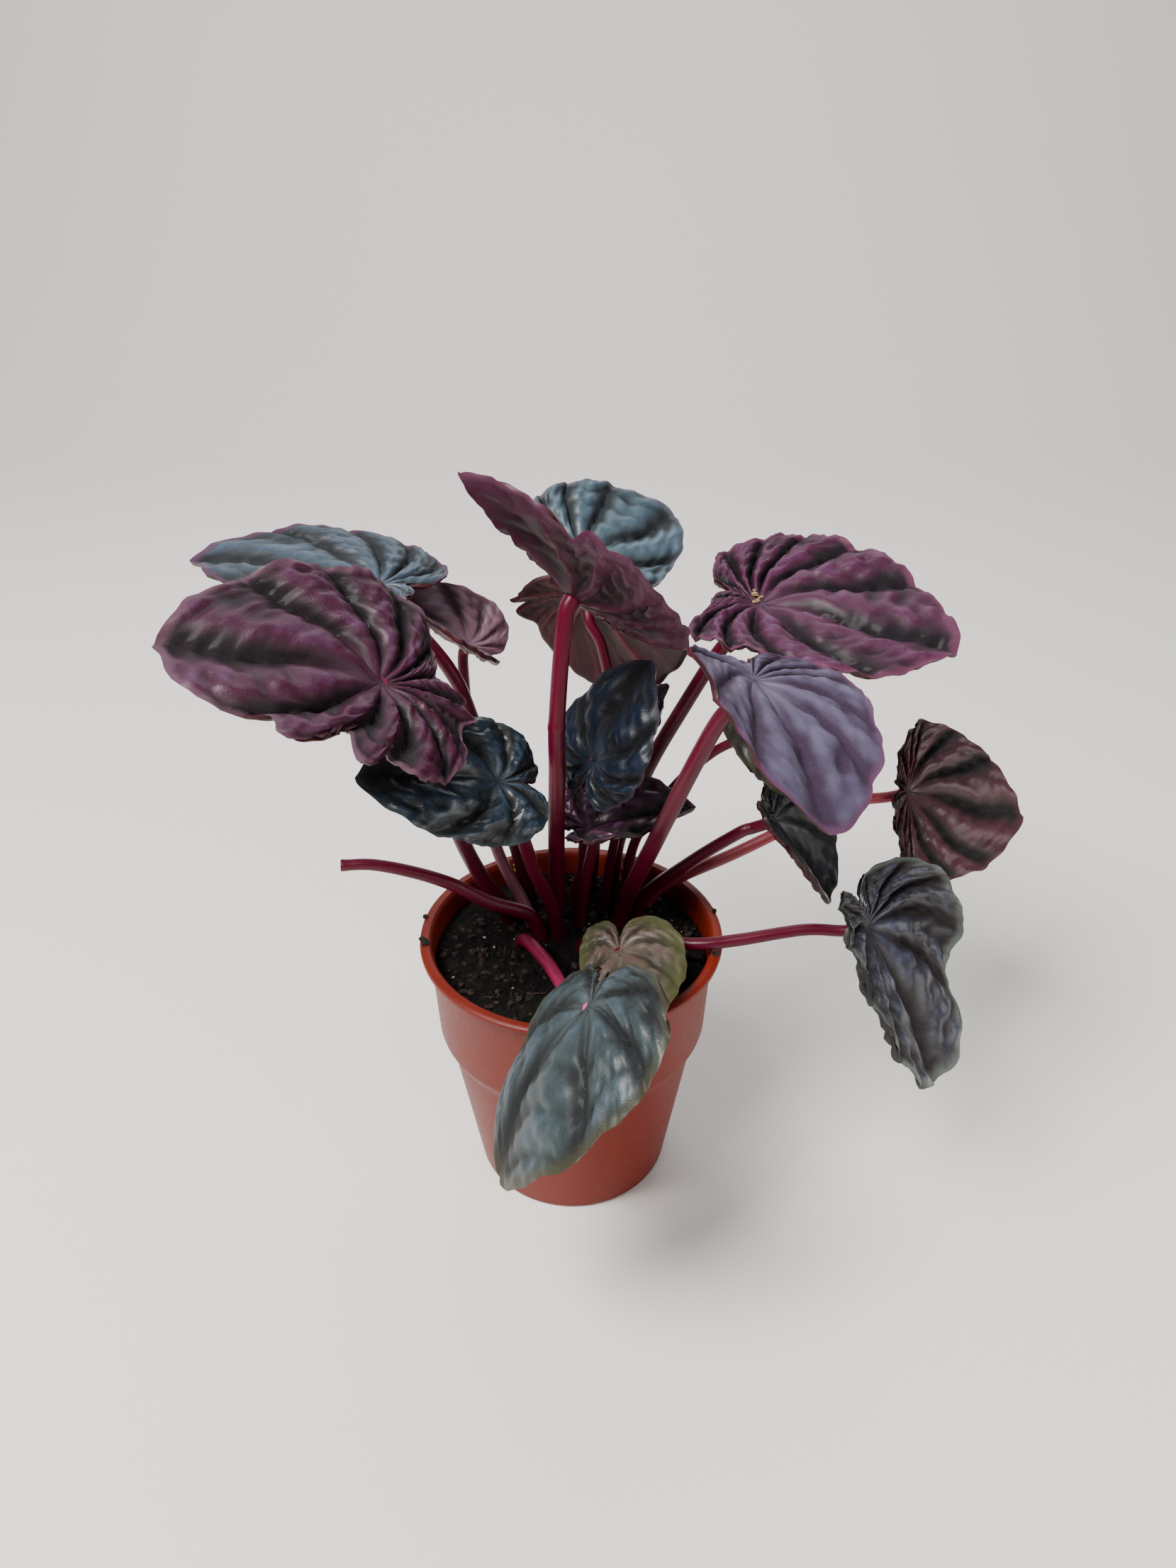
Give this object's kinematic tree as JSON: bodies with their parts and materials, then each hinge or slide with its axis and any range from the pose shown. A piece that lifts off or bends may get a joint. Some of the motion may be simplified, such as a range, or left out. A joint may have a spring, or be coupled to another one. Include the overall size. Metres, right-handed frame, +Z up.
{
  "type": "ripple peperomia in a nursery pot",
  "caption": "Small potted foliage plant: heart-shaped rippled leaves in purple, slate and dark green on crimson stalks, in a plain terracotta-coloured plastic nursery pot.",
  "frame": {"origin": "centre of the pot's flat base, which stands on the floor", "axes": "+Z up along the pot's axis, -Y towards the side that the picture shows, +X to its right"},
  "size_m": [0.1663, 0.1159, 0.1498],
  "materials": {
    "terracotta_plastic": "satin moulded plastic, no print",
    "potting_soil": "moist peat-based potting soil with perlite",
    "crimson_stalk": "fleshy, satin",
    "pale_stalk": "fleshy, satin",
    "upper_left_leaf": "waxy, rippled, soft sheen",
    "broad_left_leaf": "waxy, rippled, soft sheen",
    "small_back_left_leaf": "waxy, rippled, soft sheen",
    "dark_left_leaf": "waxy, rippled, soft sheen",
    "new_centre_leaf": "waxy, rippled, soft sheen",
    "new_behind_leaf": "waxy, rippled, soft sheen",
    "folded_centre_leaf": "waxy, rippled, soft sheen",
    "upper_folded_leaf": "waxy, rippled, soft sheen",
    "upper_silver_leaf": "waxy, rippled, soft sheen",
    "upper_turned_leaf": "waxy, rippled, soft sheen",
    "broad_right_leaf": "waxy, rippled, soft sheen",
    "hanging_right_leaf": "waxy, rippled, soft sheen",
    "hanging_small_leaf": "waxy, rippled, soft sheen",
    "far_right_leaf": "waxy, rippled, soft sheen",
    "low_right_leaf": "waxy, rippled, soft sheen",
    "front_draped_leaf": "waxy, rippled, soft sheen",
    "front_small_leaf": "waxy, rippled, soft sheen",
    "hidden_right_leaf": "waxy, rippled, soft sheen",
    "dry_leaf": "dry, papery",
    "bud_green": "soft plant scrap"
  },
  "bodies": {
    "root": {"pot": "terracotta_plastic", "soil": "potting_soil", "blade_upper_left": "upper_left_leaf", "stalk_upper_left": "crimson_stalk", "blade_broad_left": "broad_left_leaf", "stalk_broad_left": "crimson_stalk", "blade_small_back_left": "small_back_left_leaf", "stalk_small_back_left": "crimson_stalk", "blade_dark_left": "dark_left_leaf", "stalk_dark_left": "crimson_stalk", "blade_new_centre": "new_centre_leaf", "stalk_new_centre": "crimson_stalk", "blade_new_behind": "new_behind_leaf", "stalk_new_behind": "crimson_stalk", "blade_folded_centre": "folded_centre_leaf", "stalk_folded_centre": "crimson_stalk", "blade_upper_folded": "upper_folded_leaf", "stalk_upper_folded": "crimson_stalk", "blade_upper_silver": "upper_silver_leaf", "stalk_upper_silver": "crimson_stalk", "blade_upper_turned": "upper_turned_leaf", "stalk_upper_turned": "crimson_stalk", "blade_broad_right": "broad_right_leaf", "stalk_broad_right": "crimson_stalk", "blade_hanging_right": "hanging_right_leaf", "stalk_hanging_right": "crimson_stalk", "blade_hanging_small": "hanging_small_leaf", "stalk_hanging_small": "crimson_stalk", "blade_far_right": "far_right_leaf", "stalk_far_right": "pale_stalk", "blade_low_right": "low_right_leaf", "stalk_low_right": "crimson_stalk", "blade_front_draped": "front_draped_leaf", "stalk_front_draped": "crimson_stalk", "blade_front_small": "front_small_leaf", "stalk_front_small": "crimson_stalk", "blade_hidden_right": "hidden_right_leaf", "stalk_hidden_right": "crimson_stalk", "stalk_bare": "crimson_stalk", "dry_leaf": "dry_leaf", "bud_scrap": "bud_green"}
  },
  "joints": []
}
